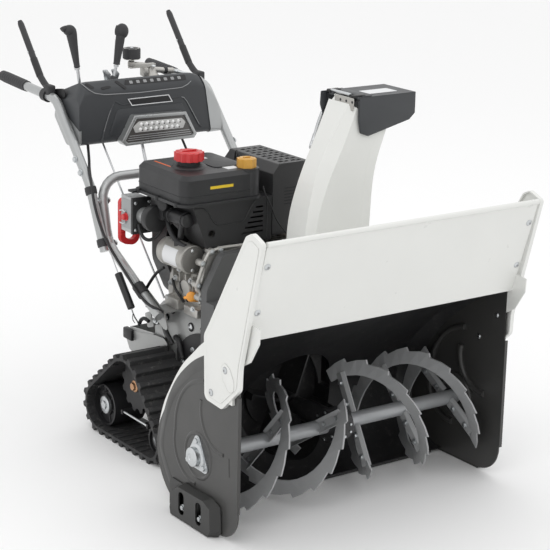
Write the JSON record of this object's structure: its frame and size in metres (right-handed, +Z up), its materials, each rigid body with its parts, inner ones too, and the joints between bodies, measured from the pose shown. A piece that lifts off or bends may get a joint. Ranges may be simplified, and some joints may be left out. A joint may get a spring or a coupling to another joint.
{
  "type": "tracked snow blower",
  "caption": "Walk-behind two-stage snow blower on rubber tracks, with serrated auger, impeller, turning discharge chute, open engine and handlebar console.",
  "frame": {"origin": "on the ground under the middle of the machine, halfway between the visor nose and the handle ends", "axes": "+X towards the side the chute throws to, -Y forwards through the intake, +Z up"},
  "size_m": [0.926, 1.6859, 1.1549],
  "materials": {
    "white_powder_coat": "gloss white powder coat",
    "dark_plate_coat": "satin dark grey powder coat",
    "shell_coat": "white powder coat outside, black inside",
    "black_paint": "satin black paint",
    "auger_paint": "graphite grey paint with bright worn edges",
    "auger_tube_paint": "silver grey paint",
    "zinc_steel": "bright zinc plating",
    "track_rubber": "black moulded rubber",
    "wheel_plastic": "black moulded plastic",
    "silver_paint": "silver grey paint",
    "cast_aluminium": "die cast aluminium",
    "engine_plastic": "textured black plastic",
    "tank_plastic": "textured charcoal plastic",
    "red_plastic": "red moulded plastic",
    "amber_plastic": "amber moulded plastic",
    "guard_steel": "black heat proof paint",
    "rust_steel": "dull heat tinted steel",
    "charcoal_plastic": "charcoal moulded plastic",
    "lamp_silver": "silver lamp bezel with clear lens",
    "grip_rubber": "soft black rubber",
    "lever_plastic": "black moulded plastic",
    "cable_black": "black cable sleeve",
    "rod_steel": "zinc plated steel rod"
  },
  "bodies": {
    "undercarriage": {"track_left": "track_rubber", "track_right": "track_rubber", "rear_idlers": "wheel_plastic", "front_rollers": "wheel_plastic", "drive_sprockets": "wheel_plastic", "track_frames": "black_paint", "track_axles": "zinc_steel"},
    "auger": {"auger_shaft": "auger_tube_paint", "auger_flight_left": "auger_paint", "auger_flight_right": "auger_paint"},
    "impeller": {"impeller": "black_paint"},
    "chute": {"chute": "white_powder_coat"},
    "deflector": {"deflector_hood": "charcoal_plastic"},
    "machine": {"auger_bearings": "zinc_steel", "auger_gearbox": "black_paint", "belt_cover": "engine_plastic", "blower_housing": "engine_plastic", "chassis": "silver_paint", "chute_crank": "lever_plastic", "clutch_levers": "lever_plastic", "console": "charcoal_plastic", "control_cables": "cable_black", "control_rods": "rod_steel", "crankcase": "cast_aluminium", "cylinder_head": "cast_aluminium", "deflector_lever": "lever_plastic", "dipstick": "amber_plastic", "engine_cowl": "engine_plastic", "fuel_cap": "red_plastic", "fuel_tank": "tank_plastic", "gear_lever": "lever_plastic", "grips": "grip_rubber", "handle_left": "silver_paint", "handle_right": "silver_paint", "housing_shell": "shell_coat", "impeller_drum": "black_paint", "lower_handle": "silver_paint", "muffler": "rust_steel", "muffler_guard": "guard_steel", "oil_cap": "amber_plastic", "pull_handle": "red_plastic", "rear_tray": "silver_paint", "scraper_blade": "black_paint", "side_plate_left": "dark_plate_coat", "side_plate_right": "dark_plate_coat", "skid_shoes": "dark_plate_coat", "starter_motor": "zinc_steel", "switch_box": "silver_paint", "visor_brackets": "white_powder_coat", "visor_panel": "white_powder_coat", "work_lamp": "lamp_silver"}
  },
  "joints": [
    {"name": "body_height", "type": "hinge", "parent": "undercarriage", "child": "machine", "pos_m": [0, 0.0045, 0.181], "axis": [-1, 0, 0], "range_deg": [0, 8]},
    {"name": "auger_spin", "type": "hinge", "parent": "machine", "child": "auger", "pos_m": [0, -0.5535, 0.188], "axis": [1, 0, 0], "continuous": true},
    {"name": "impeller_spin", "type": "hinge", "parent": "machine", "child": "impeller", "pos_m": [0, -0.3535, 0.188], "axis": [0, 1, 0], "continuous": true},
    {"name": "chute_turn", "type": "hinge", "parent": "machine", "child": "chute", "pos_m": [0.118, -0.3355, 0.5], "axis": [0, 0, 1], "range_deg": [-190, 10]},
    {"name": "deflector_tilt", "type": "hinge", "parent": "chute", "child": "deflector", "pos_m": [0.162, -0.3355, 1.03], "axis": [0, 1, 0], "range_deg": [0, 30]}
  ],
  "couplings": [
    {"joint": "auger_spin", "follows": "impeller_spin", "ratio": 0.1}
  ]
}
